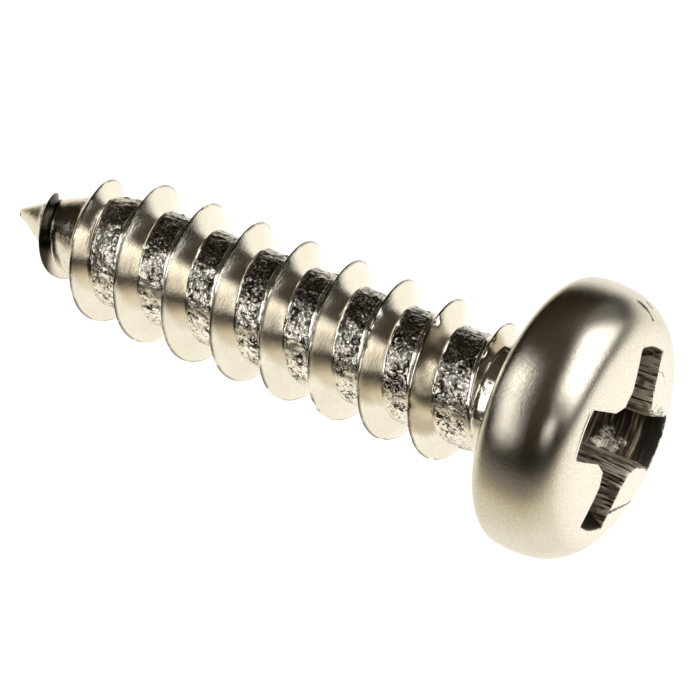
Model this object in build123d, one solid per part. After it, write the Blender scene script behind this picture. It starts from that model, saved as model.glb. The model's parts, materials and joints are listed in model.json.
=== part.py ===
from build123d import *

import math
import os

# A pan-head self-tapping screw, 3.5 x 13, with a number 2 cross recess and a gimlet point.
#
# The real screw is one piece of steel wire: its head is struck cold, with the recess, and its
# thread is then rolled. So it is one solid. It is built upright on its own axis, with the bearing
# face under the head at height 0, the head above it and the shank hanging below it. At the end it
# is laid down as it comes to rest on a flat surface: on the rim of its head and on one crest of
# its thread, with its point towards -X. Lengths are in millimetres and angles in degrees. Angles
# about the axis are counted from the side that ends up underneath.

# ---- head ---------------------------------------------------------------------------------------
head_diameter = 6.2
head_height = 2.25  # where the top would peak, if the recess left it there
rim_radius = 0.42  # edge between the bearing face and the side
shoulder_radius = 1.1  # edge between the side and the top
dome_radius = 12.0  # the top is almost flat
head_offset = 0.2  # the head was struck this far off the axis of the shank
head_offset_angle = 134.5

# ---- shank --------------------------------------------------------------------------------------
screw_length = 13.52  # from the bearing face to the point
root_diameter = 2.49
neck_fillet = 0.6  # from the neck out to the bearing face
core_point_length = 2.85  # the core narrows to the point over this length
tip_radius = 0.05  # the point is slightly blunt
point_bulge = 0.55  # how far the point bows out from a straight cone

# ---- thread, right-handed -----------------------------------------------------------------------
thread_diameter = 3.5
thread_pitch = 1.27
crest_width = 0.03
flank_angle = 30.0  # from each flank to a plane square to the axis
thread_point_length = 2.9  # the crest comes down to the point over this length
thread_angle = 148.0  # where the crest would cross the plane of the bearing face
head_clearance = 0.93  # from the bearing face to the last trace of the thread
runout_turns = 0.4  # the thread rises out of the neck over this many turns
root_burial = 0.12  # how deep the ridge is rooted inside the core

# ---- cross recess, number 2 ---------------------------------------------------------------------
recess_span = 4.16  # across opposite wings, at the top of the head
wing_width = 1.1
wing_draft = 2.5  # how far each side wall of a wing leans
wing_end_angle = 26.5  # from the end of each wing to the axis, all on one cone
wing_overrun = 0.3  # how far the wings are drawn past that cone, which then trims them
corner_reach = 0.71  # from the two middle lines of the cross to the corner of a land
land_angle = 138.0  # between the two facets of a land's corner
recess_floor_span = 2.3  # across the wings where they meet the bottom
floor_cone_angle = 28.0  # the bottom is a shallow cone
recess_angle = 132.5  # the direction of one wing

# ---- worked out from the sizes above ------------------------------------------------------------
head_radius = head_diameter / 2
root_radius = root_diameter / 2
crest_radius = thread_diameter / 2
thread_start = thread_pitch / 4 - screw_length
thread_end = -head_clearance
thread_turns = (thread_end - thread_start) / thread_pitch
recess_top = head_height - dome_radius + math.sqrt(dome_radius**2 - (recess_span / 2) ** 2)
recess_depth = (recess_span - recess_floor_span) / 2 / math.tan(math.radians(wing_end_angle))


def polar(radius, angle, height=0.0):
    """The point at this radius, at this angle in degrees about the axis, and at this height."""
    return Vector(radius, 0, height).rotate(Axis.Z, angle)


def narrowed(height, full_radius, point_length):
    """The radius at this height of a surface that bows in from full_radius to the blunt point."""
    share = min(max((height + screw_length) / point_length, 0.0), 1.0)
    return tip_radius + (full_radius - tip_radius) * share * (1 + point_bulge * (1 - share))


def revolved(*edges):
    """The solid that a closed outline in the XZ plane sweeps when it turns about the axis."""
    return revolve(Plane.XZ * Face(Wire(edges)), Axis.Z)


def head():
    """The pan head: flat bearing face, rounded rim, upright side, broad shoulder, low dome."""
    rim_centre = (head_radius - rim_radius, rim_radius)
    dome_centre = head_height - dome_radius
    shoulder_radius_out = head_radius - shoulder_radius
    shoulder_height = math.sqrt((dome_radius - shoulder_radius) ** 2 - shoulder_radius_out**2)
    shoulder_centre = (shoulder_radius_out, dome_centre + shoulder_height)
    top_turn = math.degrees(math.atan2(shoulder_height, shoulder_radius_out))
    rim = CenterArc(rim_centre, rim_radius, -90, 90)
    shoulder = CenterArc(shoulder_centre, shoulder_radius, 0, top_turn)
    dome = CenterArc((0, dome_centre), dome_radius, top_turn, 90 - top_turn)
    solid = revolved(
        Line((0, 0), rim @ 0), rim, Line(rim @ 1, shoulder @ 0), shoulder, dome, Line(dome @ 1, (0, 0))
    )
    return Pos(polar(head_offset, head_offset_angle)) * solid


def core():
    """The wire under the head before its thread is rolled: neck, body and bowed point."""
    overlap = 0.5  # it reaches up into the head by this much
    neck = -neck_fillet
    point_end = core_point_length - screw_length
    bow = tip_radius + (root_radius - tip_radius) * (1 + point_bulge) / 2
    point = Bezier(
        (tip_radius, -screw_length),
        (bow, (point_end - screw_length) / 2),
        (root_radius, point_end),
    )
    fillet = CenterArc((root_radius + neck_fillet, neck), neck_fillet, 180, -90)
    return revolved(
        Line((0, -screw_length), point @ 0),
        point,
        Line(point @ 1, fillet @ 0),
        fillet,
        Line(fillet @ 1, (root_radius + neck_fillet, overlap)),
        Line((root_radius + neck_fillet, overlap), (0, overlap)),
        Line((0, overlap), (0, -screw_length)),
    )


def ridge_section(turn):
    """The ridge's four corners after this many turns: lower foot, two at the crest, upper foot."""
    height = thread_start + thread_pitch * turn
    crest = narrowed(height, crest_radius, thread_point_length)
    buried = narrowed(height, root_radius, core_point_length) - root_burial / 2
    left = (thread_turns - turn) / runout_turns
    if left < 1:
        crest = buried + (crest - buried) * max(left, 0.0)
    lean = math.tan(math.radians(flank_angle))
    upper_foot = buried - root_burial / 2
    upper_reach = crest_width / 2 + (crest - upper_foot) * lean
    lower_foot = narrowed(height - upper_reach, root_radius, core_point_length) - root_burial
    lower_reach = crest_width / 2 + (crest - lower_foot) * lean
    angle = thread_angle + 360 * height / thread_pitch
    return [
        polar(lower_foot, angle, height - lower_reach),
        polar(crest, angle, height - crest_width / 2),
        polar(crest, angle, height + crest_width / 2),
        polar(upper_foot, angle, height + upper_reach),
    ]


def ridge_edge(corner, start, end):
    """The path that one corner of the ridge's section follows between two turns."""
    count = max(4, math.ceil((end - start) * 24))
    turns = [start + (end - start) * i / count for i in range(count + 1)]
    step = 1e-4
    tangents = [
        ridge_section(turn + step)[corner] - ridge_section(turn - step)[corner]
        for turn in (start, end)
    ]
    return Edge.make_spline([ridge_section(turn)[corner] for turn in turns], tangents=tangents)


def thread():
    """The rolled ridge: flanks, crest and buried foot wound round the core, in half turns."""
    changes = [
        0.0,
        (core_point_length - screw_length - thread_start) / thread_pitch,
        (thread_point_length - screw_length - thread_start) / thread_pitch,
        thread_turns - runout_turns,
        thread_turns,
    ]
    changes.sort()
    breaks = [0.0]
    for start, end in zip(changes, changes[1:]):
        count = math.ceil((end - start) / 0.5)
        breaks += [start + (end - start) * i / count for i in range(1, count + 1)]
    faces = [Face(Wire.make_polygon(ridge_section(turn))) for turn in (breaks[0], breaks[-1])]
    for start, end in zip(breaks, breaks[1:]):
        paths = [ridge_edge(corner, start, end) for corner in range(4)]
        for path, following in zip(paths, paths[1:] + paths[:1]):
            faces.append(Face.make_surface_from_curves(path, following))
    return Solid(Shell(faces))


def cross(height):
    """The recess's outline at this height: four wings, and lands with two facets at each corner."""
    down = recess_top - height
    tip = recess_span / 2 - down * math.tan(math.radians(wing_end_angle)) + wing_overrun
    side = wing_width / 2 - down * math.tan(math.radians(wing_draft))
    reach = corner_reach - down * math.tan(math.radians(wing_draft))
    facet_end = reach + (reach - side) / math.tan(math.radians(land_angle / 2 - 45))
    quarter = [(tip, side), (facet_end, side), (reach, reach), (side, facet_end), (side, tip)]
    turns = [0, 90, 180, 270]
    points = [Vector(x, y, height).rotate(Axis.Z, turn) for turn in turns for x, y in quarter]
    return Face(Wire.make_polygon(points))


def recess():
    """The punch that strikes the recess: a cross on a turned cone, with a shallow cone at its tip."""
    top = head_height + 0.3
    floor = recess_top - recess_depth
    top_radius = recess_span / 2 + (top - recess_top) * math.tan(math.radians(wing_end_angle))
    floor_radius = recess_floor_span / 2
    cone_depth = floor_radius * math.tan(math.radians(floor_cone_angle))
    turned = revolved(
        Line((0, floor), (floor_radius, floor)),
        Line((floor_radius, floor), (top_radius, top)),
        Line((top_radius, top), (0, top)),
        Line((0, top), (0, floor)),
    )
    wings = loft([cross(top), cross(floor)], ruled=True) & turned
    bottom = revolved(
        Line((0, floor + 0.2), (floor_radius, floor + 0.2)),
        Line((floor_radius, floor + 0.2), (floor_radius, floor)),
        Line((floor_radius, floor), (0, floor - cone_depth)),
        Line((0, floor - cone_depth), (0, floor + 0.2)),
    )
    prism = extrude(cross(floor), amount=cone_depth, dir=(0, 0, -1))
    punch = wings + (bottom & prism)
    return Pos(polar(head_offset, head_offset_angle)) * Rot(0, 0, recess_angle) * punch


def resting_tilt():
    """How far the axis dips towards the point when the head's rim and a crest touch the ground."""
    rim_out = head_radius - rim_radius + polar(head_offset, head_offset_angle).X
    tilts = []
    for turn in range(math.ceil(thread_turns) + 1):
        height = -thread_pitch * (thread_angle / 360 + turn)
        if thread_start < height < thread_end - thread_pitch:
            across = rim_out - narrowed(height, crest_radius, thread_point_length)
            along = rim_radius - height + crest_width / 2
            slope = math.degrees(math.atan2(across, along))
            tilts.append(slope + math.degrees(math.asin(rim_radius / math.hypot(across, along))))
    return min(tilts)


screw = head() + core() + thread() - recess()
screw = Rot(0, 90 - resting_tilt(), 0) * screw
box = screw.bounding_box()
screw = Pos(-box.center().X, -box.center().Y, -box.min.Z) * screw
screw.label = "screw"

os.makedirs("parts", exist_ok=True)
export_step(screw, "parts/screw.step")

print(f"screw: {screw.volume:.2f} cubic mm, {len(screw.solids())} solid, {len(screw.faces())} faces")
print(f"tilt {resting_tilt():.3f} degrees, box {box.size.X:.3f} x {box.size.Y:.3f} x {box.size.Z:.3f}")
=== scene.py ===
# %% [markdown]
# # A small self-tapping screw
#
# This is one of the plainest things a workshop holds: a short steel screw that cuts its own thread.
# It is a single piece of wire. A die strikes the head and punches the cross into it, and two more
# dies roll the thread, so each face of the metal carries the mark of the tool that made it: a satin
# head, smooth bright flanks, and a crushed, pitted root between them.
#
# The lesson starts from a finished CAD solid that fixes the sizes, and builds a finer skin over it.

import json
import math

import bpy
import numpy as np
from mathutils import Matrix, Quaternion, Vector, noise


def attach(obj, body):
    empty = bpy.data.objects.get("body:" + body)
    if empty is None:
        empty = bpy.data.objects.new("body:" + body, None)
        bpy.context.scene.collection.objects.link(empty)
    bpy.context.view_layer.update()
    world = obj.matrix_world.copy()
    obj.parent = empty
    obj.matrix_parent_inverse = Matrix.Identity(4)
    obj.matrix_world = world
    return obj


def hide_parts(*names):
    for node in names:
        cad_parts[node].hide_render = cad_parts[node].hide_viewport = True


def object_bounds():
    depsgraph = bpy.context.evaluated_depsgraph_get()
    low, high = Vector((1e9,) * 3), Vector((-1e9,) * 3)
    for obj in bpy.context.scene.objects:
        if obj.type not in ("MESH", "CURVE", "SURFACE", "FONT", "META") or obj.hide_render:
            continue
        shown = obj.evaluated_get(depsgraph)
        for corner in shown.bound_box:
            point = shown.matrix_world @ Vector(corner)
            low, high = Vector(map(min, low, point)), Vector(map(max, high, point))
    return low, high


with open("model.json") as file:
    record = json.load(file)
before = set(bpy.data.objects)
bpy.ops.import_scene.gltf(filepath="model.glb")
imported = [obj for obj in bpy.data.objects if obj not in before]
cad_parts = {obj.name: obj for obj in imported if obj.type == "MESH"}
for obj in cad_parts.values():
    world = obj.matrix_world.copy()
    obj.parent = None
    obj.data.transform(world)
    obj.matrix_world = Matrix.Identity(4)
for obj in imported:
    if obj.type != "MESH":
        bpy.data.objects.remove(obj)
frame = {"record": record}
cad_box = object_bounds()
print("CAD box:", [list(corner) for corner in cad_box])

# %% [markdown]
# ## Where the screw lies
#
# The screw lies on its side, on the rim of its head and one crest of its thread, so its axis is not
# one of the world's. Everything is easier to shape upright. So the screw gets axes of its own: its
# height runs from the point (below zero) through the face under the head (at zero) to the top of the
# head. A matrix then lays it down. The matrix could be typed in as angles, but the record already
# says where the bearing face, the recess and the thread are, so it is read from there.

# %% The screw's own axes
MM = 0.001
mounts = {mount["name"]: mount for mount in frame["record"]["mounts"]}
places = {name: Vector(mount["pos_m"]) for name, mount in mounts.items()}
toward_head = Vector(mounts["drive_recess"]["axis"]).normalized()
across = Vector((0, 1, 0))
underside = across.cross(toward_head)
height_of_face = (places["bearing_face"] - places["tapping_thread"]).dot(toward_head)
origin = places["tapping_thread"] + toward_head * height_of_face
lay_down = Matrix((underside, across, toward_head)).transposed().to_4x4()
lay_down.translation = origin

recess_from_origin = (places["drive_recess"] - origin) / MM
head_centre = np.array([recess_from_origin.dot(underside), recess_from_origin.dot(across)])
recess_top = recess_from_origin.dot(toward_head)
axis_rise = math.degrees(math.asin(toward_head.z))
print(f"the axis rises {axis_rise:.2f} degrees, and the head is off centre by {head_centre}")

# %% [markdown]
# ## The sizes
#
# These are the sizes of the CAD solid, in millimetres. A skin that replaces a solid has to keep to
# them, or the screw would no longer fit its driver or its hole. Only the last two are the skin's
# own: a struck head is slightly barrel-shaped, and its side runs smoothly into its rounded edges.

# %% Sizes in millimetres
SCREW_LENGTH = 13.52
ROOT_RADIUS = 1.245
CREST_RADIUS = 1.75
TIP_RADIUS = 0.05
POINT_BULGE = 0.55
CORE_POINT_LENGTH = 2.85
THREAD_POINT_LENGTH = 2.9
PITCH = 1.27
CREST_WIDTH = 0.03
FLANK_LEAN = math.tan(math.radians(30))
THREAD_ANGLE = math.radians(148)
HEAD_CLEARANCE = 0.93
RUNOUT = 0.4 * PITCH
NECK_FILLET = 0.6
HEAD_RADIUS = 3.1
HEAD_HEIGHT = 2.25
RIM_RADIUS = 0.42
SHOULDER_RADIUS = 1.1
DOME_RADIUS = 12.0
SIDE_LEAN = 9.0  # degrees that the side leans in where it meets the rim and the shoulder
SIDE_BULGE = 0.02  # how far in those edges are moved, so that the bulge keeps to the head's radius

# %% [markdown]
# ## Noise as a sculpting tool
#
# Nothing that a die has squeezed is quite even. Small changes of shape could be sculpted by hand,
# but a screw has far too much thread for that. `noise` gives a smooth random value at any point in
# space, always the same one, so a surface pushed in and out by it looks worked by chance and still
# comes out alike on every run. Blender's own noise takes one point at a time, which is fast enough
# for a part this small.

# %% Helpers for noise and blending
def soft_noise(points, detail, seed=0.0):
    """Smooth random values from -1 to 1. Detail is how many bumps there are in a millimetre."""
    moved = points * detail + seed
    return np.array([noise.noise(Vector(point)) for point in moved])


def cell_noise(points, detail, seed=0.0):
    """Distance to the nearest of many scattered dots: 0 on a dot and about 1 between dots."""
    moved = points * detail + seed
    return np.array([noise.voronoi(Vector(point))[0][0] for point in moved])


def ease(low, high, value):
    """0 below low, 1 above high, and a smooth step between them."""
    share = np.clip((value - low) / (high - low), 0, 1)
    return share * share * (3 - 2 * share)


# %% [markdown]
# ## The shape of the shank
#
# Two curves make the whole shank. The core is a straight wire that swells into the head and bows in
# to a point, and the crest line does the same a little further out. The flanks simply join them at
# 30 degrees. Near the head the crest sinks into the core over less than half a turn, which is the
# run-out that the rolling dies leave.

# %% Core, crest and section
LEAST_REACH = 0.06  # keeps the rows of the grid apart where there is no thread


def narrowed(height, full_radius, point_length):
    """Radius of a surface that bows in from full_radius to the blunt point."""
    share = np.clip((height + SCREW_LENGTH) / point_length, 0, 1)
    return TIP_RADIUS + (full_radius - TIP_RADIUS) * share * (1 + POINT_BULGE * (1 - share))


def core_radius(height):
    """Radius of the wire under the thread, with the fillet that joins it to the head."""
    into_fillet = np.clip(height + NECK_FILLET, 0, NECK_FILLET)
    swell = NECK_FILLET - np.sqrt(NECK_FILLET**2 - into_fillet**2)
    return narrowed(height, ROOT_RADIUS, CORE_POINT_LENGTH) + swell


def crest_radius(height):
    """Radius of the sharp edge of the thread where the edge is at this height."""
    core = core_radius(height)
    full = narrowed(height, CREST_RADIUS, THREAD_POINT_LENGTH)
    share = np.clip((-HEAD_CLEARANCE - height) / RUNOUT, 0, 1)
    return core + np.maximum(full - core, 0) * share


def flank_reach(height):
    """How far each flank reaches along the axis, from the middle of the crest to its foot."""
    rise = crest_radius(height) - core_radius(height)
    return np.maximum(CREST_WIDTH / 2 + rise * FLANK_LEAN, LEAST_REACH)


print(f"the flanks reach {flank_reach(-SCREW_LENGTH / 2):.2f} mm to each side of the crest")


# %% [markdown]
# ## A grid that winds with the thread
#
# A thread could be made with the Screw modifier, which turns a profile round an axis as it climbs.
# But this one changes all the way: it is cut off at the point, it sinks away under the head, and its
# root is rough. So the grid is laid out one by one. Its columns stand round the axis, and its rows climb
# exactly one pitch for each turn, so one row runs along the crest from end to end and others run
# along each foot. That keeps the crest sharp with few faces, and leaves most rows for the root,
# where the detail is.

# %% Rows across one pitch
COLUMNS = 240
FLANK_STEPS = np.array([0.1, 0.35, 0.62, 0.85])  # shares of the way from the crest to the foot
LIP_STEPS = np.array([0.0, 0.022, 0.05])  # millimetres past the foot
ROOT_STEPS = np.array([1, 2, 3, 4, 5, 6]) / 6.5  # shares of the way from the lip to mid-root


def one_side(reach):
    """Distances from the crest's middle to each row on one side of it, for each flank reach."""
    edge = np.full((1, reach.size), CREST_WIDTH / 2)
    flank = edge + FLANK_STEPS[:, None] * (reach - edge)
    lip = reach + LIP_STEPS[:, None]
    root = lip[-1] + ROOT_STEPS[:, None] * (PITCH / 2 - lip[-1])
    return np.concatenate([edge, flank, lip, root])


turns_down = math.ceil(SCREW_LENGTH / PITCH) + 1
column_angle = np.arange(COLUMNS) * 2 * math.pi / COLUMNS
crest_at = PITCH * (column_angle - THREAD_ANGLE) / (2 * math.pi)
offset_rows, crest_rows = [], []
for turn in range(-turns_down, 3):
    crest_height = crest_at + turn * PITCH
    side = one_side(flank_reach(crest_height))
    middle = np.zeros((1, COLUMNS))
    start = np.full((1, COLUMNS), -PITCH / 2)
    rows = np.concatenate([start, -side[::-1], middle, side])
    offset_rows.append(rows)
    crest_rows.append(np.broadcast_to(crest_height, rows.shape))
rows_per_turn = len(offset_rows[0])
offset = np.concatenate(offset_rows)
crest_height = np.concatenate(crest_rows)
height = crest_height + offset
print(rows_per_turn, "rows in a turn,", offset.size, "points on the winding grid")

# %% [markdown]
# ## The smooth thread, then its wear and roughness
#
# First comes the true section: whichever is further out, the core or the flank. The rest is pushed
# in or out along the radius. The root is crushed metal, made of bumps a tenth or two of a millimetre
# across with a few flakes that stand up. The foot of the flank that faces the head has a thin raised
# lip, where the die squeezed metal up beside itself. The crest has small nicks, more of them near
# the head, where a driver pulls the screw tight.

# %% The true section
slope_out = crest_radius(crest_height) - np.maximum(np.abs(offset) - CREST_WIDTH / 2, 0) / FLANK_LEAN
radius = np.maximum(core_radius(height), slope_out)
angle = np.broadcast_to(column_angle, radius.shape)


def round_axis(radius, angle, height):
    """Points at these radii and angles about the axis, at these heights."""
    return np.stack([radius * np.cos(angle), radius * np.sin(angle), height], axis=-1)


section_points = round_axis(radius, angle, height).reshape(-1, 3)
print(f"largest radius of the true thread {radius.max():.3f} mm")

# %% The crushed root
BUMP_HEIGHT = 0.018
CRUMB_HEIGHT = 0.016
CRUMB_LEVEL = 0.42  # metal nearer to a dot than this stands up as a crumb
FLAKE_HEIGHT = 0.12
FLAKE_LEVEL = 0.34  # only noise above this stands up as a flake
past_foot = np.abs(offset) - flank_reach(crest_height)
on_root = ease(0.015, 0.08, past_foot) * (1 - 0.8 * ease(-1.5, -0.6, height))
near_point = 1 - ease(-SCREW_LENGTH + 1.2, -SCREW_LENGTH + 3.4, height)
bumps = soft_noise(section_points, 6.0).reshape(radius.shape)
crumbs = cell_noise(section_points, 9.5, 3.1).reshape(radius.shape)
flakes = soft_noise(section_points, 4.6, 11.7).reshape(radius.shape)
rough = BUMP_HEIGHT * bumps + CRUMB_HEIGHT * (CRUMB_LEVEL - crumbs)
rough = rough + FLAKE_HEIGHT * np.maximum(flakes - FLAKE_LEVEL, 0)
rough = on_root * (1 - 0.85 * near_point) * rough
print(f"the root is worked by {rough.min():.3f} to {rough.max():.3f} mm")

# %% The lip, the nicks and the slow waver
LIP_HEIGHT = 0.024
LIP_WIDTH = 0.014
BLUNTING = 0.012
NICK_DEPTH = 0.12
NICK_LEVEL = 0.34  # only noise above this cuts a nick
WAVER = 0.006
lip_shape = np.exp(-((past_foot - 0.02) ** 2) / (2 * LIP_WIDTH**2)) * (offset > 0)
lip_wander = 0.6 + 0.7 * soft_noise(section_points, 2.2, 27.3).reshape(radius.shape)
lip = LIP_HEIGHT * lip_shape * lip_wander * (crest_height < -HEAD_CLEARANCE)

near_crest = np.exp(-((offset / 0.035) ** 2))
nick_noise = soft_noise(section_points, 3.1, 41.9).reshape(radius.shape)
toward_neck = ease(-7.0, -1.0, height)
nicks = BLUNTING + NICK_DEPTH * np.maximum(nick_noise - NICK_LEVEL, 0)
nicks = near_crest * nicks * (0.25 + toward_neck)
waver = WAVER * soft_noise(section_points, 0.9, 63.0).reshape(radius.shape)
radius = np.maximum(radius + rough + lip + waver - nicks, 0.02)
print(f"largest radius of the worn thread {radius.max():.3f} mm")

# %% [markdown]
# ## Closing the two ends
#
# The winding grid runs past both ends of the shank. Every point beyond an end is drawn to a level
# ring there, so faces that lie wholly beyond it shrink to nothing and are left out, and the last
# ones become triangles. It is the same as trimming a coil of pastry with a straight knife.

# %% Collect points and faces
SHANK, HEAD, RECESS = 0, 1, 2  # the three finishes
points = []
worked_share = []
crest_share = []
faces = []
face_finish = []


def add_points(rows, worked=None, crest=None):
    """Adds rows of points, with how crushed and how near a crest each is, and returns their numbers."""
    start = sum(len(block) for block in points)
    flat = rows.reshape(-1, 3)
    points.append(flat)
    worked_share.append(np.zeros(len(flat)) if worked is None else worked.reshape(-1))
    crest_share.append(np.zeros(len(flat)) if crest is None else crest.reshape(-1))
    return np.arange(start, start + len(flat)).reshape(rows.shape[:-1])


def add_face(corners, finish):
    """Adds a face, without the corners that fall together. One that shrinks to nothing is left out."""
    corners = list(dict.fromkeys(int(corner) for corner in corners))
    if len(corners) > 2:
        faces.append(corners)
        face_finish.append(finish)


def add_band(lower, upper, finish):
    """Adds a band of faces between two rings of point numbers."""
    for column in range(len(lower)):
        following = (column + 1) % len(lower)
        add_face([lower[column], lower[following], upper[following], upper[column]], finish)


def level_ring(radius, height):
    """A level ring of points round the shank's axis."""
    return round_axis(radius + 0 * column_angle, column_angle, height + 0 * column_angle)


# %% Trim the winding grid at both ends
NECK_TOP = -0.3
POINT_END = -SCREW_LENGTH + 0.03
POINT_RING_RADIUS = 0.06
TIP_RING_RADIUS = 0.03
SNAP = 0.012  # a point this close to an end is drawn to it
thread_rise = crest_radius(crest_height) - core_radius(height)
on_crest = (np.abs(offset) <= CREST_WIDTH / 2) * ease(0.05, 0.2, thread_rise)
grid = add_points(round_axis(radius, angle, height), on_root * (1 - 0.3 * near_point), on_crest)
neck_ring = add_points(level_ring(core_radius(NECK_TOP), NECK_TOP))
point_ring = add_points(level_ring(POINT_RING_RADIUS, POINT_END))
grid = np.where(height > NECK_TOP - SNAP, neck_ring, grid)
grid = np.where(height < POINT_END + SNAP, point_ring, grid)
wrapped = np.concatenate([grid[rows_per_turn:, :1], np.full((rows_per_turn, 1), neck_ring[0])])
grid = np.concatenate([grid, wrapped], axis=1)
for row, next_row in zip(grid, grid[1:]):
    if (row == row[0]).all() and (next_row == row[0]).all():
        continue
    for column in range(COLUMNS):
        add_face([row[column], row[column + 1], next_row[column + 1], next_row[column]], SHANK)
print(len(faces), "faces on the shank")

# %% The blunt tip
tip_ring = add_points(level_ring(TIP_RING_RADIUS, -SCREW_LENGTH))
tip_centre = add_points(np.array([[0, 0, -SCREW_LENGTH]]))
add_band(tip_ring, point_ring, SHANK)
add_band(np.full(COLUMNS, tip_centre[0]), tip_ring, SHANK)
print(f"the tip is {2 * TIP_RING_RADIUS} mm across")

# %% [markdown]
# ## The head
#
# A head like this is a turned shape, so it is a stack of rings: out along the flat bearing face,
# round the rim, up the side, over the broad shoulder and in across the almost flat top. The head was
# struck a fifth of a millimetre off the shank's axis, which is common on cheap screws and easy to
# see from the side, so its rings are centred on the recess instead of the shank.

# %% The profile of the head
def arc(centre, radius, first, last, steps):
    """Radii and heights of points along an arc, angles in degrees from the outward direction."""
    turn = np.radians(np.linspace(first, last, steps))
    return np.stack([centre[0] + radius * np.cos(turn), centre[1] + radius * np.sin(turn)], axis=-1)


dome_centre = HEAD_HEIGHT - DOME_RADIUS
shoulder_out = HEAD_RADIUS - SHOULDER_RADIUS
shoulder_rise = math.sqrt((DOME_RADIUS - SHOULDER_RADIUS) ** 2 - shoulder_out**2)
top_turn = math.degrees(math.atan2(shoulder_rise, shoulder_out))
rim_centre = (HEAD_RADIUS - SIDE_BULGE - RIM_RADIUS, RIM_RADIUS)
rim = arc(rim_centre, RIM_RADIUS, -90, -SIDE_LEAN, 10)
shoulder_centre = (shoulder_out - SIDE_BULGE, dome_centre + shoulder_rise)
shoulder = arc(shoulder_centre, SHOULDER_RADIUS, SIDE_LEAN, top_turn, 16)

side_slope = math.tan(math.radians(SIDE_LEAN))
bulge_height = ((shoulder[0][0] - rim[-1][0]) / side_slope + shoulder[0][1] + rim[-1][1]) / 2
bulge = np.array([rim[-1][0] + side_slope * (bulge_height - rim[-1][1]), bulge_height])
share = np.linspace(0, 1, 7)[1:-1, None]
side = rim[-1] * (1 - share) ** 2 + bulge * 2 * share * (1 - share) + shoulder[0] * share**2
bearing = np.array([[(ROOT_RADIUS + NECK_FILLET + rim[0][0]) / 2, 0.0]])
head_profile = np.concatenate([bearing, rim, side, shoulder])
print(f"the head's side is {head_profile[:, 0].max():.3f} mm from its axis")

# %% Rings up the fillet and round the head
FILLET_HEIGHTS = [-0.22, -0.14, -0.07, -0.02, 0.0]


def head_ring(radius, height):
    """One ring of the head, centred on the head's own axis."""
    ring = level_ring(radius, height)
    ring[:, :2] += head_centre
    return ring


fillet_rings = [add_points(level_ring(core_radius(height_up), height_up)) for height_up in FILLET_HEIGHTS]
head_rings = [add_points(head_ring(*place)) for place in head_profile]
for lower, upper in zip([neck_ring] + fillet_rings, fillet_rings):
    add_band(lower, upper, SHANK)
for lower, upper in zip(fillet_rings[-1:] + head_rings, head_rings):
    add_band(lower, upper, HEAD)
print(len(fillet_rings) + len(head_rings), "rings from the neck to the shoulder")

# %% [markdown]
# ## The cross recess
#
# The punch is a tapering cross: straight walls, rounded ends that slope in at 26.5 degrees, and lands
# whose inner corners are blunted by two facets. Cutting it with a Boolean would work, but would leave
# long thin faces on the top, which show in a satin reflection. Here the rings of the top change shape
# instead, from a circle at the shoulder to the cross at the mouth, and then run on down the walls.
# The rings next to the mouth are where wear can be shaped. A driver rounds the edge off all the way
# round, and where it has slipped it tears the edge and throws up a burr.

# %% The outline of the cross
RECESS_SPAN = 4.16
FLOOR_SPAN = 2.3
WING_WIDTH = 1.1
CORNER_REACH = 0.71
WING_END = math.tan(math.radians(26.5))
WING_DRAFT = math.tan(math.radians(2.5))
LAND_ANGLE = 138  # between the two facets of a land's corner
LAND_FACET = math.tan(math.radians(LAND_ANGLE / 2 - 45))
RECESS_ANGLE = math.radians(132.5)
FLOOR_CONE = math.tan(math.radians(28))
recess_depth = (RECESS_SPAN - FLOOR_SPAN) / 2 / WING_END
quarter_columns = COLUMNS // 4
EDGE_SHARES = [0.14, 0.22, 0.14, 0.14, 0.22, 0.14]  # columns of a quarter along each edge of the outline
edge_columns = np.round(np.cumsum([0] + EDGE_SHARES) * quarter_columns).astype(int)
print(f"the walls of the recess are {recess_depth:.2f} mm deep")


def cross_corners(down):
    """Corners of a quarter of the cross this far below the mouth, from mid-end to mid-end."""
    tip = RECESS_SPAN / 2 - down * WING_END
    side = WING_WIDTH / 2 - down * WING_DRAFT
    land = CORNER_REACH - down * WING_DRAFT
    facet = land + (land - side) / LAND_FACET
    end = math.sqrt(tip**2 - side**2)
    first_half = [(tip, 0), (end, side), (facet, side), (land, land)]
    return np.array(first_half + [(side, facet), (side, end), (0, tip)])


def cross_point(column, down):
    """The point of the cross that belongs to this column, this far below the mouth."""
    corners = cross_corners(down)
    turn, within = divmod(column, quarter_columns)
    edge = int(np.searchsorted(edge_columns, within, side="right")) - 1
    share = (within - edge_columns[edge]) / (edge_columns[edge + 1] - edge_columns[edge])
    point = corners[edge] * (1 - share) + corners[edge + 1] * share
    if edge in (0, len(EDGE_SHARES) - 1):
        point *= corners[0][0] / np.hypot(*point)  # the ends of the wings are rounded by the cone
    spin = turn * math.pi / 2
    return np.array([
        point[0] * math.cos(spin) - point[1] * math.sin(spin),
        point[0] * math.sin(spin) + point[1] * math.cos(spin),
    ])


def outline(down):
    """All the points of the cross, each as far below the mouth as its entry says."""
    return np.array([cross_point(column, down[column]) for column in range(COLUMNS)])


# %% The mouth, where the cross meets the dome
def dome_height(flat):
    """Height of the dome over points given across the head."""
    return dome_centre + np.sqrt(DOME_RADIUS**2 - (flat**2).sum(axis=-1))


def on_head(flat, height):
    """Turns points given along the wings into points of the screw."""
    cos, sin = math.cos(RECESS_ANGLE), math.sin(RECESS_ANGLE)
    turned = np.stack([flat[:, 0] * cos - flat[:, 1] * sin, flat[:, 0] * sin + flat[:, 1] * cos], axis=-1)
    return np.concatenate([turned + head_centre, height[:, None]], axis=-1)


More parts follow.
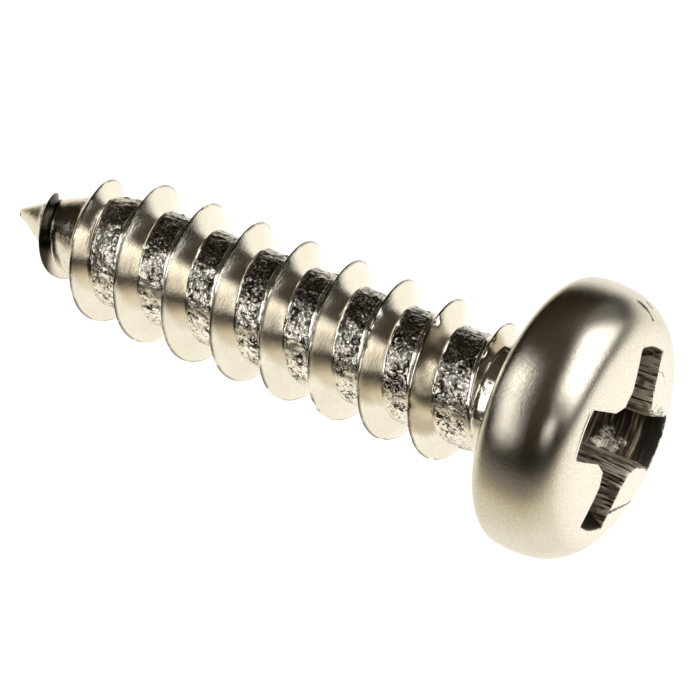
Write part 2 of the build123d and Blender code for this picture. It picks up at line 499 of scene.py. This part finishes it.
mouth_down = np.zeros(COLUMNS)
for _ in range(3):
    mouth = outline(mouth_down)
    mouth_down = recess_top - dome_height(mouth)
along_mouth = np.roll(mouth, -1, axis=0) - np.roll(mouth, 1, axis=0)
away_from_mouth = np.stack([along_mouth[:, 1], -along_mouth[:, 0]], axis=-1)
away_from_mouth /= np.hypot(*away_from_mouth.T)[:, None]
print(f"the mouth dips {mouth_down.max():.3f} mm at the ends of the wings")

# %% Wear round the mouth
TORN_WING = 3  # the driver has slipped on this wing and torn its edge
WEAR = 0.03
TEAR = 0.075
BURR = 0.035
mouth_points = np.concatenate([mouth, np.zeros((COLUMNS, 1))], axis=1)
worn_by_driver = 1 + 0.5 * soft_noise(mouth_points, 1.7, 5.3)
tear_centre = (TORN_WING + 0.12) * quarter_columns
from_tear = np.abs(np.arange(COLUMNS) - tear_centre)
torn = (1 - ease(12, 40, from_tear)) * (0.5 + 1.1 * np.abs(soft_noise(mouth_points, 5.5, 71.0)))
wear = (WEAR * worn_by_driver + TEAR * torn)[:, None]
burr = BURR * torn * soft_noise(mouth_points, 9.0, 13.0)
print(f"the mouth is worn back by up to {wear.max():.3f} mm")

# %% From the shoulder in to the mouth
BRINK = 0.04  # from the worn edge to the last smooth ring
EDGE_SINK = 0.012  # how far the worn edge lies below the dome
top_circle = shoulder[-1][0]
shift = int(round(RECESS_ANGLE / (2 * math.pi) * COLUMNS))
ring_angle = column_angle + shift * 2 * math.pi / COLUMNS - RECESS_ANGLE
circle = top_circle * np.stack([np.cos(ring_angle), np.sin(ring_angle)], axis=-1)
brink = mouth + away_from_mouth * (wear + BRINK)
cap_rings = [np.roll(head_rings[-1], -shift)]
for share in [0.12, 0.26, 0.42, 0.58, 0.74, 0.88, 1.0]:
    flat = circle * (1 - share) + brink * share
    cap_rings.append(add_points(on_head(flat, dome_height(flat)), torn * ease(0.45, 0.9, share)))
worn_edge = mouth + away_from_mouth * wear * 0.75
cap_rings.append(add_points(on_head(worn_edge, dome_height(worn_edge) - EDGE_SINK + burr), torn))
for lower, upper in zip(cap_rings, cap_rings[1:]):
    add_band(lower, upper, HEAD)
print(len(cap_rings), "rings across the top")

# %% Down the walls and across the floor
on_wing_end = (np.arange(COLUMNS) + edge_columns[1]) % quarter_columns <= 2 * edge_columns[1]
wall_rings = [cap_rings[-1]]
for share in [0.02, 0.06, 0.12, 0.2, 0.3, 0.42, 0.55, 0.7, 0.85, 0.97, 1.0]:
    down = mouth_down + (recess_depth - mouth_down) * share
    scar = away_from_mouth * wear * 0.5 * max(0.0, 1 - share / 0.12)
    flat = outline(down) + scar
    wall_rings.append(add_points(on_head(flat, recess_top - down), on_wing_end.astype(float)))
floor_outline = outline(np.full(COLUMNS, recess_depth))
for share in [0.85, 0.65, 0.4, 0.2]:
    flat = floor_outline * share
    from_axis = np.minimum(np.sqrt((flat**2).sum(axis=-1)), FLOOR_SPAN / 2)
    sunk = (FLOOR_SPAN / 2 - from_axis) * FLOOR_CONE
    wall_rings.append(add_points(on_head(flat, recess_top - recess_depth - sunk), np.ones(COLUMNS)))
deepest = recess_top - recess_depth - FLOOR_SPAN / 2 * FLOOR_CONE
bottom = add_points(np.array([[head_centre[0], head_centre[1], deepest]]), np.ones(1))
for lower, upper in zip(wall_rings, wall_rings[1:]):
    add_band(lower, upper, RECESS)
add_band(wall_rings[-1], np.full(COLUMNS, bottom[0]), RECESS)
print(f"the recess ends {recess_top - deepest:.2f} mm below the top of the head")

# %% [markdown]
# ## One closed mesh
#
# The rings and the grid share their edges, so the skin closes with nothing to stitch. Points that no
# face uses are dropped: the winding grid, which ran past both ends, leaves some. Each point also
# keeps two numbers for the materials. One says how worked the metal is there: crushed on the shank,
# torn on the head, and turned by the punch in the recess. The other says whether it is on the crest.

# %% Make the mesh
SHARP_ANGLE = math.radians(50)  # edges that turn by more than this stay sharp
all_points = np.concatenate(points)
used = np.unique(np.concatenate([np.array(face) for face in faces]))
print(len(all_points) - len(used), "points dropped")
renumber = np.full(len(all_points), -1)
renumber[used] = np.arange(len(used))
laid = np.array([lay_down @ Vector(point * MM) for point in all_points[used]])
screw_mesh = bpy.data.meshes.new("screw_skin")
screw_mesh.from_pydata(laid.tolist(), [], [[int(renumber[corner]) for corner in face] for face in faces])
screw_mesh.polygons.foreach_set("material_index", face_finish)
screw_mesh.shade_smooth()
screw_mesh.set_sharp_from_angle(angle=SHARP_ANGLE)
for name, shares in (("worked_face", worked_share), ("crest_edge", crest_share)):
    attribute = screw_mesh.attributes.new(name, "FLOAT", "POINT")
    attribute.data.foreach_set("value", np.concatenate(shares)[used].astype(np.float32))
screw_mesh.validate()
screw_skin = bpy.data.objects.new("screw_skin", screw_mesh)
bpy.context.scene.collection.objects.link(screw_skin)
triangles = sum(len(polygon.vertices) - 2 for polygon in screw_mesh.polygons)
print("triangles:", triangles)

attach(screw_skin, "root")
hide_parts("screw")

# %% [markdown]
# ## Coordinates that stay with the metal
#
# A punch mark or a die mark runs along or round the screw, whichever way the screw lies. So each
# point also stores where it is on the upright screw, in millimetres, and the materials read that
# instead of Blender's own object coordinates.

# %% Store the upright place of each point
upright_attribute = screw_mesh.attributes.new("upright_place", "FLOAT_VECTOR", "POINT")
upright_attribute.data.foreach_set("vector", all_points[used].astype(np.float32).ravel())
print("stored the upright place of", len(used), "points")

# %% [markdown]
# ## Small helpers for materials
#
# A material is a tree of nodes. These helpers only save typing: one adds a node and fills in its
# sockets, and one starts a metal, because all three finishes of this screw are bare plated steel.
# The others each stand for one node that is wanted again and again.

# %% Node helpers
def add_node(tree, kind, links=None, **settings):
    """Adds a node, sets its properties, and joins or sets its inputs by name or number."""
    node = tree.nodes.new(kind)
    for name, value in settings.items():
        setattr(node, name, value)
    for name, value in (links or {}).items():
        if isinstance(value, bpy.types.NodeSocket):
            tree.links.new(value, node.inputs[name])
        else:
            node.inputs[name].default_value = value
    return node


def start_metal(name):
    """A new metal, with its shader and the upright place of each point."""
    material = bpy.data.materials.new(name)
    material.use_nodes = True
    tree = material.node_tree
    shader = tree.nodes["Principled BSDF"]
    shader.inputs["Metallic"].default_value = 1.0
    place = add_node(tree, "ShaderNodeAttribute", attribute_name="upright_place").outputs["Vector"]
    return material, tree, shader, place


def stored(tree, name):
    """A number that the mesh stores at each point."""
    return add_node(tree, "ShaderNodeAttribute", attribute_name=name).outputs["Fac"]


# %% Helpers for numbers and places
def arithmetic(tree, operation, first, second=0.0):
    """One step of arithmetic on numbers."""
    return add_node(tree, "ShaderNodeMath", {0: first, 1: second}, operation=operation).outputs[0]


def times(tree, first, second):
    """The product of two numbers, or of two masks."""
    return arithmetic(tree, "MULTIPLY", first, second)


def steps(tree, value, low, high):
    """0 where the value is at low, 1 where it is at high, and a smooth step between."""
    links = {"Value": value, "From Min": low, "From Max": high}
    return add_node(tree, "ShaderNodeMapRange", links, interpolation_type="SMOOTHSTEP").outputs["Result"]


def on_places(tree, operation, links):
    """One step of arithmetic on places. A distance or a dot product comes out as a number."""
    outputs = add_node(tree, "ShaderNodeVectorMath", links, operation=operation).outputs
    return outputs["Value" if operation in ("DISTANCE", "DOT_PRODUCT") else "Vector"]


def along(tree, place, axis):
    """How far each place is along one axis."""
    return add_node(tree, "ShaderNodeSeparateXYZ", {0: place}).outputs[axis]


def stretch(tree, place, x, y, z):
    """The same places, squeezed along each of the screw's own axes."""
    return on_places(tree, "MULTIPLY", {0: place, 1: (x, y, z)})


# %% Helpers for noise, colour and dents
def blobs(tree, place, scale, detail=2.0, rough=0.5):
    """Soft noise in the metal, with this many bumps to the millimetre."""
    links = {"Vector": place, "Scale": scale, "Detail": detail, "Roughness": rough}
    return add_node(tree, "ShaderNodeTexNoise", links).outputs["Fac"]


def shaken(tree, place, scale, amount):
    """The places moved by chance, by half the amount on average, so that what is drawn on them wavers."""
    links = {"Vector": place, "Scale": scale, "Detail": 3.0}
    shift = add_node(tree, "ShaderNodeTexNoise", links).outputs["Color"]
    return on_places(tree, "MULTIPLY_ADD", {0: shift, 1: (amount, amount, amount), 2: place})


def ramp(tree, value, stops):
    """Colours along a value: stops are pairs of a position and a colour."""
    node = add_node(tree, "ShaderNodeValToRGB", {"Fac": value})
    elements = node.color_ramp.elements
    while len(elements) < len(stops):
        elements.new(0.5)
    for element, (position, colour) in zip(elements, stops):
        element.position = position
        element.color = (*colour, 1.0)
    return node.outputs["Color"]


def mix_values(tree, share, first, second):
    """A number between two others."""
    return add_node(tree, "ShaderNodeMix", {0: share, 2: first, 3: second}, data_type="FLOAT").outputs[0]


def mix_colours(tree, share, first, second):
    """A colour between two others."""
    node = add_node(tree, "ShaderNodeMix", {0: share}, data_type="RGBA")
    for number, value in ((6, first), (7, second)):
        if isinstance(value, bpy.types.NodeSocket):
            tree.links.new(value, node.inputs[number])
        else:
            node.inputs[number].default_value = (*value, 1.0)
    return node.outputs[2]


def dent(tree, height, depth, strength=1.0, before=None):
    """Turns a height into a tilt of the surface. Depth is in millimetres."""
    links = {"Height": height, "Distance": depth * MM, "Strength": strength}
    if before is not None:
        links["Normal"] = before
    return add_node(tree, "ShaderNodeBump", links).outputs["Normal"]


# %% [markdown]
# ## Rolled steel: smooth flanks and a crushed root
#
# The dies polish the flanks and crush the root. One material can do both, if it knows where it is:
# the mesh stores how much of the crushed root each point has, and which points are on the crest. The
# edge between flank and root is broken up with noise, because a clean line would look painted. The
# pits and cracks are coloured near-black, the uppermost side is darkened in patches as painted shade,
# and grime clings to parts of the crest. Towards the point the dies only bend the metal, so it is calm
# there, except for the first flank, which is painted black as a painted dark reflection.

# %% Where the shank is flank, root and point
CREAM_STEEL = (0.88, 0.84, 0.75)
WARM_STEEL = (0.76, 0.70, 0.58)
DARK_STEEL = (0.22, 0.18, 0.12)
# Near-black, for the root's pits and cracks, dirt, scratches and torn metal, and for painted shade and a
# painted dark reflection.
DIRT_AND_PAINTED_SHADE = (0.018, 0.013, 0.008)
CALM_FROM, CALM_BELOW = -10.0, -12.3  # heights between which the root turns smooth
# The first flank is painted black between these heights, as a painted dark reflection.
PAINTED_DARK_FROM, PAINTED_DARK_BELOW = -12.05, -12.2  # heights between which the first flank turns black
BARE_FROM, BARE_BELOW = -12.85, -12.95  # and bare again, on the cone ahead of the thread

rolled, tree, shader, place = start_metal("rolled_steel")
height_up = along(tree, place, "Z")
edge_noise = blobs(tree, place, 9.0, 3.0)
edge_shift = times(tree, arithmetic(tree, "SUBTRACT", edge_noise, 0.5), 0.9)
crushed = arithmetic(tree, "ADD", stored(tree, "worked_face"), edge_shift)
root_mask = steps(tree, crushed, 0.35, 0.6)
calm = steps(tree, height_up, CALM_FROM, CALM_BELOW)
pitted = times(tree, root_mask, arithmetic(tree, "SUBTRACT", 1.0, calm))
print("the root turns smooth", -CALM_FROM, "to", -CALM_BELOW, "mm below the head")

# %% The root's cracks and crinkles, and the marks of the dies on the flanks
wandering = shaken(tree, place, 5.0, 0.35)
crack_links = {"Vector": wandering, "Scale": 5.5}
crack_cells = add_node(tree, "ShaderNodeTexVoronoi", crack_links, feature="DISTANCE_TO_EDGE")
crack_lines = steps(tree, crack_cells.outputs["Distance"], 0.12, 0.04)
crack_places = steps(tree, blobs(tree, place, 2.4, 2.0), 0.50, 0.60)
cracks = times(tree, crack_lines, crack_places)
crinkle = blobs(tree, place, 12.0, 4.0, 0.55)
root_height = arithmetic(tree, "SUBTRACT", crinkle, times(tree, cracks, 0.9))
root_height = times(tree, root_height, pitted)

draw_marks = blobs(tree, stretch(tree, place, 1.0, 1.0, 9.0), 5.0, 3.0)
skin_grain = blobs(tree, place, 42.0, 2.0)
flank_height = arithmetic(tree, "ADD", times(tree, draw_marks, 0.5), times(tree, skin_grain, 0.5))
normal = dent(tree, flank_height, 0.006, 0.6)
normal = dent(tree, root_height, 0.022, 0.7, before=normal)
tree.links.new(normal, shader.inputs["Normal"])

# %% Colours of the root and the flanks
# The pits and cracks of the root are coloured near-black.
root_stops = [(0.36, DIRT_AND_PAINTED_SHADE), (0.42, WARM_STEEL), (0.55, CREAM_STEEL)]
root_colour = mix_colours(tree, cracks, ramp(tree, crinkle, root_stops), DIRT_AND_PAINTED_SHADE)
# Painted shade: the side that lies uppermost is darkened in patches, most of the way to near-black.
upper_side = steps(tree, along(tree, place, "X"), -0.65, -1.1)
painted_top_shade = times(tree, upper_side, steps(tree, blobs(tree, place, 15.0, 3.0, 0.6), 0.34, 0.56))
root_colour = mix_colours(tree, times(tree, painted_top_shade, 0.8), root_colour, DIRT_AND_PAINTED_SHADE)
mottle = steps(tree, blobs(tree, place, 11.0, 4.0, 0.7), 0.50, 0.66)
tint = mix_colours(tree, blobs(tree, place, 1.3, 2.0), CREAM_STEEL, WARM_STEEL)
tint = mix_colours(tree, times(tree, mottle, 0.07), tint, DARK_STEEL)
metal_colour = mix_colours(tree, pitted, tint, root_colour)

# %% A painted dark reflection on the first flank, grime on the crest, and the gloss
# Painted dark reflection: off the root, the first flank is coloured nearly black between these heights.
painted_dark_reflection = steps(tree, height_up, PAINTED_DARK_FROM, PAINTED_DARK_BELOW)
painted_dark_reflection = times(tree, painted_dark_reflection, steps(tree, height_up, BARE_BELOW, BARE_FROM))
painted_dark_reflection = times(tree, times(tree, painted_dark_reflection, arithmetic(tree, "SUBTRACT", 1.0, root_mask)), 0.96)
grime_places = steps(tree, blobs(tree, place, 1.6, 3.0, 0.6), 0.36, 0.52)
grime = times(tree, stored(tree, "crest_edge"), grime_places)
darkened = arithmetic(tree, "MAXIMUM", painted_dark_reflection, times(tree, grime, 0.85))
tree.links.new(mix_colours(tree, darkened, metal_colour, DIRT_AND_PAINTED_SHADE), shader.inputs["Base Color"])
flank_gloss = mix_values(tree, skin_grain, 0.11, 0.2)
root_gloss = mix_values(tree, crinkle, 0.26, 0.1)
tree.links.new(mix_values(tree, pitted, flank_gloss, root_gloss), shader.inputs["Roughness"])
print(rolled.name, "has", len(tree.nodes), "nodes")

# %% [markdown]
# ## The satin head
#
# The head was tumbled and plated after it was struck, so it has a fine even grain with no direction,
# which blurs what it reflects. Its top is painted paler than its side, which is painted light. A few
# scratches and nicks come from the box it was sold in: each is the line between two points, drawn on
# shaken places so that it isn't ruler-straight. The torn edge of the recess shows broken metal.

# %% The marks on the head
BOX_MARKS = [  # from, to and half-width, in millimetres on the upright screw
    ((-2.35, 2.05, 1.55), (-2.20, 2.10, 1.70), 0.100),
    ((-2.20, 2.10, 1.70), (-1.95, 2.05, 1.85), 0.060),
    ((-2.10, 2.40, 1.50), (-1.95, 2.35, 1.65), 0.050),
    ((-0.80, 1.72, 2.13), (-0.44, 1.90, 2.12), 0.014),
    ((-0.44, 1.90, 2.12), (-0.06, 1.95, 2.11), 0.014),
    ((1.34, -0.73, 2.13), (1.63, -0.31, 2.11), 0.065),
    ((1.63, -0.31, 2.11), (2.12, 0.35, 2.04), 0.040),
]
MARK_SHAKE = 0.12

satin, tree, shader, place = start_metal("satin_head")


def scratch(tree, place, start, end, half_width):
    """1 along the line between two places, and 0 away from it."""
    run = [last - first for first, last in zip(start, end)]
    run_squared = sum(step * step for step in run)
    share_of_run = [step / run_squared for step in run]
    from_start = on_places(tree, "SUBTRACT", {0: place, 1: start})
    share = on_places(tree, "DOT_PRODUCT", {0: from_start, 1: share_of_run})
    share = add_node(tree, "ShaderNodeClamp", {"Value": share}).outputs[0]
    foot = on_places(tree, "SCALE", {0: run, "Scale": share})
    distance = on_places(tree, "DISTANCE", {0: from_start, 1: foot})
    return steps(tree, distance, half_width, half_width * 0.3)


torn_metal = times(tree, stored(tree, "worked_face"), blobs(tree, place, 9.0, 3.0, 0.6))
torn_metal = steps(tree, torn_metal, 0.3, 0.42)
shaken_place = shaken(tree, place, 7.0, MARK_SHAKE)
marks = torn_metal
for start, end, half_width in BOX_MARKS:
    ends = [tuple(value + MARK_SHAKE / 2 for value in corner) for corner in (start, end)]
    marks = arithmetic(tree, "MAXIMUM", marks, scratch(tree, shaken_place, *ends, half_width))
print(len(BOX_MARKS), "marks on the head")

# %% The grain, colour and dents of the head
SATIN_STEEL = (0.56, 0.51, 0.41)
PALE_SATIN = (0.88, 0.84, 0.74)
grain = blobs(tree, place, 24.0, 3.0, 0.75)
# Painted light: the top of the head is coloured paler than its side.
painted_pale_top = steps(tree, along(tree, place, "Z"), 1.7, 2.15)
paleness = arithmetic(tree, "MAXIMUM", times(tree, blobs(tree, place, 0.9, 3.0), 0.5), painted_pale_top)
satin_colour = mix_colours(tree, paleness, SATIN_STEEL, PALE_SATIN)
speck = steps(tree, grain, 0.42, 0.62)
satin_colour = mix_colours(tree, times(tree, speck, 0.18), satin_colour, DARK_STEEL)
broken = ramp(tree, blobs(tree, place, 16.0, 3.0, 0.6), [(0.45, DIRT_AND_PAINTED_SHADE), (0.55, CREAM_STEEL)])
mark_colour = mix_colours(tree, torn_metal, DIRT_AND_PAINTED_SHADE, broken)
tree.links.new(mix_colours(tree, marks, satin_colour, mark_colour), shader.inputs["Base Color"])
tree.links.new(mix_values(tree, grain, 0.12, 0.27), shader.inputs["Roughness"])
mark_depth = times(tree, marks, blobs(tree, place, 14.0, 2.0))
normal = dent(tree, grain, 0.008, 0.6)
tree.links.new(dent(tree, mark_depth, -0.04, 0.9, before=normal), shader.inputs["Normal"])
print(satin.name, "has", len(tree.nodes), "nodes")

# %% [markdown]
# ## The punched recess
#
# The punch slides along the walls as it goes in, and drags fine lines down them, all along the
# screw's axis. Squeezing the places along the axis before the noise is read gives lines that run
# that way on every wall at once. The ends of the wings and the floor were cut by the turned part of
# the punch, so their marks run round instead. Oil and dust stay in the recess, so its metal is brown
# and not quite a mirror. Each wing has a painted highlight, a bright patch near its end wall, and the
# wing ends are darkened to near-black just under the mouth, apart from one.

# %% The lines that the punch left
PUNCHED_STEEL = (0.50, 0.43, 0.32)
BRIGHT_STEEL = (0.95, 0.88, 0.74)
BROWN_OIL = (0.13, 0.095, 0.055)
punched, tree, shader, place = start_metal("punched_recess")
shader.inputs["Metallic"].default_value = 0.6
turned = stored(tree, "worked_face")
drag_lines = blobs(tree, stretch(tree, place, 1.0, 1.0, 0.05), 13.0, 4.0, 0.7)
from_head_axis = on_places(tree, "SUBTRACT", {0: place, 1: (*head_centre, 0.0)})
turning_marks = blobs(tree, stretch(tree, from_head_axis, 0.07, 0.07, 1.0), 15.0, 3.0, 0.6)
oil = blobs(tree, place, 2.1, 3.0)
dragged_stops = [(0.42, DIRT_AND_PAINTED_SHADE), (0.50, PUNCHED_STEEL), (0.57, BRIGHT_STEEL)]
dragged_colour = ramp(tree, drag_lines, dragged_stops)
dragged_colour = mix_colours(tree, steps(tree, oil, 0.5, 0.68), dragged_colour, DARK_STEEL)
turned_stops = [(0.42, DIRT_AND_PAINTED_SHADE), (0.56, BROWN_OIL), (0.66, PUNCHED_STEEL)]
turned_colour = ramp(tree, turning_marks, turned_stops)

# %% The painted highlights near the wing ends
PAINTED_HIGHLIGHT_SPOT = (1.6, -0.33)  # out along each wing and beside its middle line
PAINTED_HIGHLIGHT_DEPTH = 0.95  # below the mouth
spot_distances = []
for wing in range(4):
    turn = RECESS_ANGLE + wing * math.pi / 2
    out, beside = PAINTED_HIGHLIGHT_SPOT
    spot = (
        head_centre[0] + out * math.cos(turn) - beside * math.sin(turn),
        head_centre[1] + out * math.sin(turn) + beside * math.cos(turn),
        recess_top - PAINTED_HIGHLIGHT_DEPTH,
    )
    spot_distances.append(on_places(tree, "DISTANCE", {0: place, 1: spot}))
nearest = spot_distances[0]
for distance in spot_distances[1:]:
    nearest = arithmetic(tree, "MINIMUM", nearest, distance)
ragged = arithmetic(tree, "ADD", nearest, times(tree, drag_lines, 0.35))
ragged = arithmetic(tree, "ADD", ragged, blobs(tree, place, 4.5, 3.0))
# Painted highlight: a bright, streaked patch near the end wall of each wing.
painted_highlight = times(tree, steps(tree, ragged, 1.0, 0.76), steps(tree, drag_lines, 0.38, 0.52))
turned_colour = mix_colours(tree, painted_highlight, turned_colour, BRIGHT_STEEL)
print(len(spot_distances), "burnished spots")

# %% Near-black under the mouth, and the recess's surface
SPARED_FROM, SPARED_TO = 1.2, 1.6  # out from the head's axis, towards the wing end that is left undarkened
spared_side = (math.cos(RECESS_ANGLE), math.sin(RECESS_ANGLE), 0.0)
toward_spared_side = on_places(tree, "DOT_PRODUCT", {0: from_head_axis, 1: spared_side})
near_mouth = steps(tree, along(tree, place, "Z"), recess_top - 0.42, recess_top - 0.3)
# The wing ends are darkened to near-black just under the mouth, except the end of the wing that points
# along RECESS_ANGLE.
darkened_under_mouth = times(tree, times(tree, near_mouth, turned), steps(tree, toward_spared_side, SPARED_TO, SPARED_FROM))
recess_colour = mix_colours(tree, turned, dragged_colour, turned_colour)
tree.links.new(mix_colours(tree, darkened_under_mouth, recess_colour, DIRT_AND_PAINTED_SHADE), shader.inputs["Base Color"])
tree.links.new(mix_values(tree, oil, 0.3, 0.5), shader.inputs["Roughness"])
punch_marks = mix_values(tree, turned, drag_lines, turning_marks)
tree.links.new(dent(tree, punch_marks, 0.03, 0.9), shader.inputs["Normal"])

for finish in (rolled, satin, punched):
    screw_mesh.materials.append(finish)
print("finishes:", [finish.name for finish in screw_mesh.materials])

# %% [markdown]
# ## Paper, room and lamps
#
# Polished steel has no look of its own: it shows the room. Here the room is a white card under the
# screw, a dim room round it, one big soft window behind and to the right, and a narrower one in
# front and to the left. The card fills the lower half of every reflection. Its glow in reflections
# is painted light: brightest behind the screw and to its right, fading to warm brown in front and to
# the left, as a card does when the light comes from one corner. The dim gap between the card's edge
# and the windows makes the dark bands that tell the eye it is metal. The card and the room are plain
# white only to the camera, which Light Path tells them.

# %% The card under the screw
CARD_RADIUS = 0.060
CARD_CORNERS = 96
WHITE = (1.0, 1.0, 1.0)
CARD_SHADES = [
    (0.0, (0.030, 0.022, 0.013)),
    (0.3, (0.24, 0.19, 0.12)),
    (0.65, (0.64, 0.58, 0.45)),
    (1.0, (0.96, 0.94, 0.88)),
]
FADE_FRONT, FADE_BACK = -0.016, -0.002  # metres along Y
FADE_LEFT, FADE_RIGHT, LEFT_SHARE = -0.032, -0.004, 0.3  # metres along X, and what is left at the left
card_turns = np.linspace(0, 2 * math.pi, CARD_CORNERS, endpoint=False)
card_corners = [(CARD_RADIUS * math.cos(turn), CARD_RADIUS * math.sin(turn), 0.0) for turn in card_turns]
card_mesh = bpy.data.meshes.new("white_card")
card_mesh.from_pydata(card_corners, [], [list(range(CARD_CORNERS))])
card = bpy.data.objects.new("white_card", card_mesh)
bpy.context.scene.collection.objects.link(card)
print("the card is", 2 * CARD_RADIUS, "m across")

# %% The card's paper
card_paper = bpy.data.materials.new("card_paper")
card_paper.use_nodes = True
tree = card_paper.node_tree
tree.nodes.remove(tree.nodes["Principled BSDF"])
light_path = add_node(tree, "ShaderNodeLightPath").outputs
card_place = add_node(tree, "ShaderNodeTexCoord").outputs["Object"]
# Painted light: the card's glow, which only reflections see, fades from bright at the back right to warm
# brown at the front left.
lit_from_back = steps(tree, along(tree, card_place, "Y"), FADE_FRONT, FADE_BACK)
right_links = {"Value": along(tree, card_place, "X"), "From Min": FADE_LEFT, "From Max": FADE_RIGHT}
right_links["To Min"] = LEFT_SHARE
lit_from_right = add_node(tree, "ShaderNodeMapRange", right_links).outputs["Result"]
painted_card_light = ramp(tree, times(tree, lit_from_back, lit_from_right), CARD_SHADES)
seen = arithmetic(tree, "MAXIMUM", light_path["Is Camera Ray"], light_path["Is Glossy Ray"])
glow_colour = mix_colours(tree, light_path["Is Camera Ray"], painted_card_light, WHITE)
glow = add_node(tree, "ShaderNodeEmission", {"Color": glow_colour, "Strength": seen})
paper = add_node(tree, "ShaderNodeBsdfDiffuse", {"Color": (0.35, 0.34, 0.32, 1)})
both = add_node(tree, "ShaderNodeAddShader", {0: glow.outputs[0], 1: paper.outputs[0]})
tree.links.new(both.outputs[0], tree.nodes["Material Output"].inputs["Surface"])
card_mesh.materials.append(card_paper)

# %% The dim room, white where the camera looks past the card
ROOM_SHADES = [  # from straight down to straight up
    (0.40, (0.010, 0.007, 0.004)),
    (0.58, (0.014, 0.010, 0.006)),
    (0.72, (0.035, 0.028, 0.019)),
    (1.0, (0.07, 0.06, 0.045)),
]
world = bpy.data.worlds.new("dim_room")
bpy.context.scene.world = world
world.use_nodes = True
tree = world.node_tree
direction = add_node(tree, "ShaderNodeTexCoord").outputs["Generated"]
rise_links = {"Value": along(tree, direction, "Z"), "From Min": -1.0}
room_colour = ramp(tree, add_node(tree, "ShaderNodeMapRange", rise_links).outputs["Result"], ROOM_SHADES)
to_camera = add_node(tree, "ShaderNodeLightPath").outputs["Is Camera Ray"]
room_colour = mix_colours(tree, to_camera, room_colour, WHITE)
tree.links.new(room_colour, tree.nodes["Background"].inputs["Color"])

# %% The soft windows and the desk lamp
LAMP_DISTANCE = 0.3
middle = (Vector(cad_box[0]) + Vector(cad_box[1])) / 2


def softbox(name, azimuth, elevation, width, height, brightness, roll=0.0):
    """A rectangular soft light. All its angles are in degrees, as seen from the screw."""
    az, el = math.radians(azimuth), math.radians(elevation)
    away = Vector((math.cos(az) * math.cos(el), math.sin(az) * math.cos(el), math.sin(el)))
    lamp = bpy.data.lights.new(name, "AREA")
    lamp.shape = "RECTANGLE"
    lamp.size = 2 * LAMP_DISTANCE * math.tan(math.radians(width / 2))
    lamp.size_y = 2 * LAMP_DISTANCE * math.tan(math.radians(height / 2))
    lamp.energy = brightness * math.pi * lamp.size * lamp.size_y
    box = bpy.data.objects.new(name, lamp)
    bpy.context.scene.collection.objects.link(box)
    box.location = middle + away * LAMP_DISTANCE
    facing = (-away).to_track_quat("-Z", "Y") @ Quaternion((0, 0, 1), math.radians(roll))
    box.rotation_euler = facing.to_euler()
    print(f"{name} faces the screw from azimuth {azimuth} and elevation {elevation}")


softbox("window_behind", 27, 40, 58, 51, 2.7)
softbox("window_behind_edge", 80, 36, 34, 52, 0.16)
softbox("window_left", 229, 40, 56, 14, 2.6, roll=-50)
softbox("window_left_edge", 200, 36, 22, 44, 0.6)
softbox("desk_lamp", 323, 29, 4, 6, 14.0)

# %% [markdown]
# ## The camera
#
# The camera looks down on the screw from in front and a little to the right, through a long lens
# from about a hand's width away, so the head looks only slightly larger than the point.

# %% Camera
LOOK_AZIMUTH = math.radians(31.7)
LOOK_ELEVATION = math.radians(50.87)
CAMERA_DISTANCE = 0.1165
FOCAL_LENGTH = 278.4
AIM_LEFT, AIM_UP = 4.0, 1.4  # millimetres in the picture, from the middle of the bearing face
look_right = Vector((math.cos(LOOK_AZIMUTH), math.sin(LOOK_AZIMUTH), 0))
look_back = Vector((
    math.sin(LOOK_AZIMUTH) * math.cos(LOOK_ELEVATION),
    -math.cos(LOOK_AZIMUTH) * math.cos(LOOK_ELEVATION),
    math.sin(LOOK_ELEVATION),
))
look_up = look_back.cross(look_right)
aim = origin + (look_up * AIM_UP - look_right * AIM_LEFT) * MM
lens = bpy.data.cameras.new("camera")
lens.lens = FOCAL_LENGTH
lens.sensor_width = 36.0
lens.clip_start = 0.005
lens.clip_end = 10.0
camera = bpy.data.objects.new("camera", lens)
bpy.context.scene.collection.objects.link(camera)
camera.matrix_world = Matrix((look_right, look_up, look_back)).transposed().to_4x4()
camera.location = aim + look_back * CAMERA_DISTANCE
bpy.context.scene.camera = camera
bpy.context.scene.view_settings.view_transform = "Standard"
print(f"the camera is {CAMERA_DISTANCE * 1000:.0f} mm away, with a {lens.lens:.0f} mm lens")
